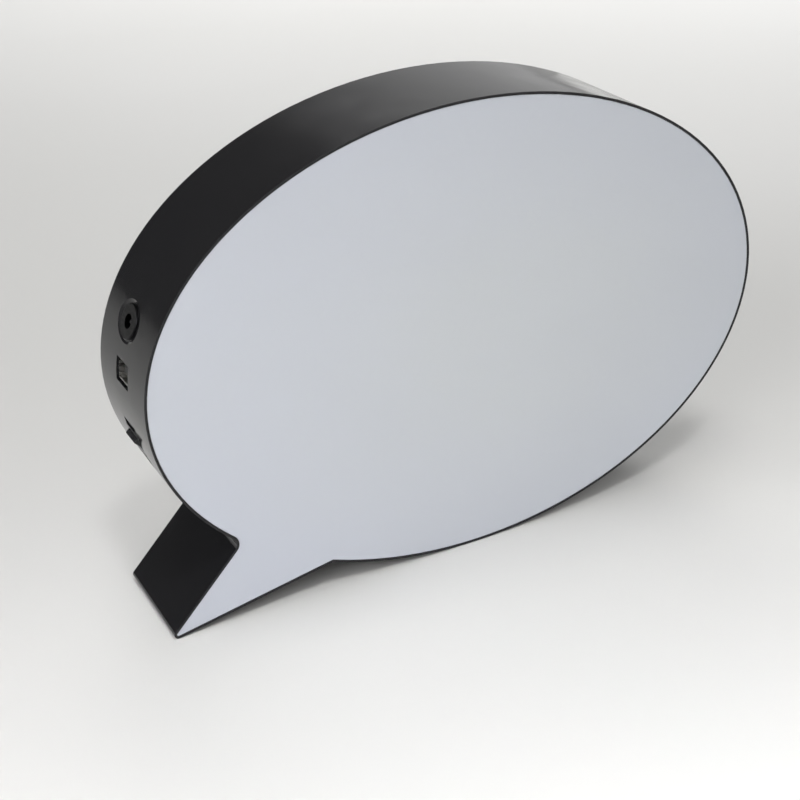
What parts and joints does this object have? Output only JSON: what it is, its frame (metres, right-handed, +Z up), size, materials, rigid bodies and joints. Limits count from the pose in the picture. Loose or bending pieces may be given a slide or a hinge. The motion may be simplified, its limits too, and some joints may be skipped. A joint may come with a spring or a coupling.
{
  "type": "light box",
  "caption": "Free-standing oval light box shaped like a speech bubble, with an opal writing panel, power jack, square socket, rocker switch and battery door.",
  "frame": {"origin": "on the table, below the middle of the oval and halfway through the depth", "axes": "+X to the right seen from the front, +Y to the back, away from the writing panel, +Z up"},
  "size_m": [0.3, 0.051, 0.211],
  "materials": {
    "case_plastic": "satin black moulded",
    "panel_opal": "opal white, smooth",
    "switch_plastic": "black, smooth",
    "insert_plastic": "black, matte",
    "metal_nickel": "nickel plated, slightly brushed",
    "metal_dark": "black plated, satin",
    "contact_brass": "bright",
    "screw_steel": "zinc plated",
    "board_green": "solder mask, satin",
    "chip_black": "matte moulded",
    "capacitor_sleeve": "dark sleeve",
    "sheet_white": "matte white",
    "strip_white": "white, matte",
    "lamp_yellow": "lamp face, unlit",
    "lead_red": "insulation",
    "lead_black": "insulation",
    "lead_white": "insulation"
  },
  "bodies": {
    "case": {"side_frame": "case_plastic", "back_cover": "case_plastic", "writing_panel": "panel_opal", "cover_screws": "screw_steel", "board_screws": "screw_steel", "battery_plates": "metal_nickel", "battery_springs": "metal_nickel", "reflector_sheet": "sheet_white", "led_strip_top": "strip_white", "led_strip_upper": "strip_white", "led_strip_left": "strip_white", "led_strip_right": "strip_white", "led_strip_lower": "strip_white", "led_strip_bottom": "strip_white", "led_lamps": "lamp_yellow", "strip_links": "lead_white", "control_board": "board_green", "driver_chip": "chip_black", "board_capacitor": "capacitor_sleeve", "socket_shell": "metal_nickel", "socket_insert": "insert_plastic", "socket_contacts": "contact_brass", "jack_body": "metal_dark", "jack_pin": "metal_nickel", "jack_nut": "metal_nickel", "jack_tabs": "metal_nickel", "switch_case": "switch_plastic", "switch_terminals": "metal_nickel", "jack_leads": "lead_black", "switch_leads": "lead_red", "battery_leads": "lead_red", "strip_leads": "lead_white"},
    "rocker": {"switch_rocker": "switch_plastic"},
    "door": {"battery_door": "case_plastic"}
  },
  "joints": [
    {"name": "rocker_tilt", "type": "hinge", "parent": "case", "child": "rocker", "pos_m": [-0.14475, -0.0007, 0.08357], "axis": [0, 1, 0], "range_deg": [0, 24]},
    {"name": "battery_door_hinge", "type": "hinge", "parent": "case", "child": "door", "pos_m": [0, 0.0255, 0.07082], "axis": [-1, 0, 0], "range_deg": [0, 90]}
  ]
}
